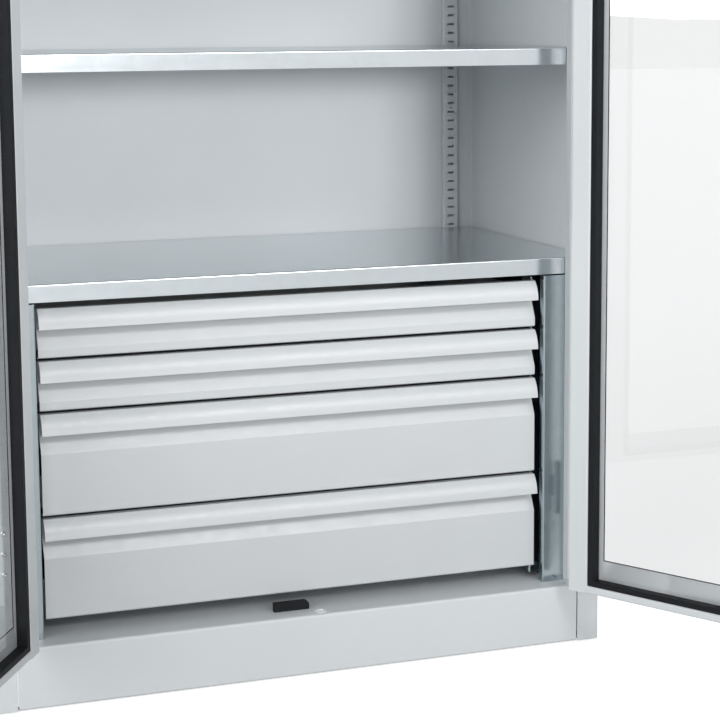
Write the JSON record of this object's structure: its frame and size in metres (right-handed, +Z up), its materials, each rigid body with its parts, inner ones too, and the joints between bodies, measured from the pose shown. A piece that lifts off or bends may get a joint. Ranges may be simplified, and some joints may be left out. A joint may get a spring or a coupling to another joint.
{
  "type": "heavy-duty cabinet",
  "caption": "Steel storage cabinet with two glazed wing doors, adjustable galvanised shelves on slotted rails and a built-in drawer unit on telescopic runners.",
  "frame": {"origin": "middle of the body's footprint (930 x 500 mm, doors left out) on the floor, at the gliders' soles", "axes": "+Z up, front faces -Y, +X to the viewer's right when facing the front"},
  "size_m": [1.276, 0.906, 1.95],
  "materials": {
    "body_paint": "light grey powder coat, fine orange peel, satin",
    "drawer_paint": "light grey powder coat, satin",
    "galvanised_steel": "smooth galvanised sheet, bluish, half matt",
    "blued_zinc": "zinc plated sheet, blue passivated, half matt",
    "runner_steel": "zinc plated, half matt",
    "bright_steel": "zinc plated, smooth",
    "black_plastic": "black moulded plastic, slightly satin",
    "white_plastic": "white moulded plastic",
    "clear_pane": "clear flat pane",
    "lock_chrome": "polished"
  },
  "bodies": {
    "cabinet_body": {"side_panel_left": "body_paint", "side_panel_right": "body_paint", "back_panel": "body_paint", "top_panel": "body_paint", "floor_panel": "body_paint", "glider_feet": "black_plastic", "rear_rail_left": "body_paint", "rear_rail_right": "body_paint", "front_rail_left": "galvanised_steel", "front_rail_right": "galvanised_steel", "door_stop_floor": "black_plastic", "door_stop_head": "black_plastic", "rod_socket_floor": "white_plastic", "rod_socket_head": "white_plastic", "shelf_1": "galvanised_steel", "shelf_2": "galvanised_steel", "shelf_3": "galvanised_steel", "shelf_4": "galvanised_steel", "shelf_clips": "runner_steel", "drawer_unit_side_left": "blued_zinc", "drawer_unit_side_right": "blued_zinc", "runner_brackets": "blued_zinc", "runner_outers": "runner_steel", "hinge_body_leaves": "body_paint", "hinge_pins": "bright_steel"},
    "right_door": {"door_shell_right": "body_paint", "window_pane_right": "clear_pane", "window_profile_right": "black_plastic", "hinge_door_leaves_right": "body_paint", "handle_plate": "black_plastic", "handle_screws": "bright_steel", "rod_guides": "white_plastic"},
    "left_door": {"door_shell_left": "body_paint", "window_pane_left": "clear_pane", "window_profile_left": "black_plastic", "hinge_door_leaves_left": "body_paint", "door_overlap_strip": "body_paint"},
    "handle": {"handle_lever": "black_plastic", "rod_cam": "bright_steel"},
    "lock_plug": {"lock_cylinder": "lock_chrome"},
    "upper_rod": {"lock_rod_upper": "bright_steel"},
    "lower_rod": {"lock_rod_lower": "bright_steel"},
    "drawer_1": {"drawer_front_1": "drawer_paint", "drawer_box_1": "drawer_paint", "runner_inner_1": "runner_steel"},
    "runner_carriage_1": {"runner_mid_1": "runner_steel"},
    "drawer_2": {"drawer_front_2": "drawer_paint", "drawer_box_2": "drawer_paint", "runner_inner_2": "runner_steel"},
    "runner_carriage_2": {"runner_mid_2": "runner_steel"},
    "drawer_3": {"drawer_front_3": "drawer_paint", "drawer_box_3": "drawer_paint", "runner_inner_3": "runner_steel"},
    "runner_carriage_3": {"runner_mid_3": "runner_steel"},
    "drawer_4": {"drawer_front_4": "drawer_paint", "drawer_box_4": "drawer_paint", "runner_inner_4": "runner_steel"},
    "runner_carriage_4": {"runner_mid_4": "runner_steel"}
  },
  "joints": [
    {"name": "right_door_hinge", "type": "hinge", "parent": "cabinet_body", "child": "right_door", "pos_m": [0.4287, -0.2567, 1], "axis": [0, 0, 1], "range_deg": [-120, 0]},
    {"name": "left_door_hinge", "type": "hinge", "parent": "cabinet_body", "child": "left_door", "pos_m": [-0.4287, -0.2567, 1], "axis": [0, 0, -1], "range_deg": [-120, 0]},
    {"name": "handle_turn", "type": "hinge", "parent": "right_door", "child": "handle", "pos_m": [0.61364, -0.62243, 1.02], "axis": [-0.866, -0.5, 0], "range_deg": [0, 90]},
    {"name": "lock_turn", "type": "hinge", "parent": "handle", "child": "lock_plug", "pos_m": [0.61364, -0.62243, 1.02], "axis": [-0.866, -0.5, 0], "range_deg": [0, 90]},
    {"name": "upper_rod_slide", "type": "slide", "parent": "right_door", "child": "upper_rod", "axis": [0, 0, 1], "range_m": [0, 0.01401]},
    {"name": "lower_rod_slide", "type": "slide", "parent": "right_door", "child": "lower_rod", "axis": [0, 0, -1], "range_m": [0, 0.01401]},
    {"name": "drawer_1_slide", "type": "slide", "parent": "cabinet_body", "child": "drawer_1", "axis": [0, -1, 0], "range_m": [0, 0.4]},
    {"name": "runner_carriage_1_slide", "type": "slide", "parent": "cabinet_body", "child": "runner_carriage_1", "axis": [0, -1, 0], "range_m": [0, 0.2001]},
    {"name": "drawer_2_slide", "type": "slide", "parent": "cabinet_body", "child": "drawer_2", "axis": [0, -1, 0], "range_m": [0, 0.4]},
    {"name": "runner_carriage_2_slide", "type": "slide", "parent": "cabinet_body", "child": "runner_carriage_2", "axis": [0, -1, 0], "range_m": [0, 0.2001]},
    {"name": "drawer_3_slide", "type": "slide", "parent": "cabinet_body", "child": "drawer_3", "axis": [0, -1, 0], "range_m": [0, 0.4]},
    {"name": "runner_carriage_3_slide", "type": "slide", "parent": "cabinet_body", "child": "runner_carriage_3", "axis": [0, -1, 0], "range_m": [0, 0.2001]},
    {"name": "drawer_4_slide", "type": "slide", "parent": "cabinet_body", "child": "drawer_4", "axis": [0, -1, 0], "range_m": [0, 0.4]},
    {"name": "runner_carriage_4_slide", "type": "slide", "parent": "cabinet_body", "child": "runner_carriage_4", "axis": [0, -1, 0], "range_m": [0, 0.2001]}
  ],
  "couplings": [
    {"joint": "upper_rod_slide", "follows": "handle_turn", "m_per_rad": 0.0089127},
    {"joint": "lower_rod_slide", "follows": "handle_turn", "m_per_rad": 0.0089127},
    {"joint": "runner_carriage_1_slide", "follows": "drawer_1_slide", "ratio": 0.5},
    {"joint": "runner_carriage_2_slide", "follows": "drawer_2_slide", "ratio": 0.5},
    {"joint": "runner_carriage_3_slide", "follows": "drawer_3_slide", "ratio": 0.5},
    {"joint": "runner_carriage_4_slide", "follows": "drawer_4_slide", "ratio": 0.5}
  ]
}
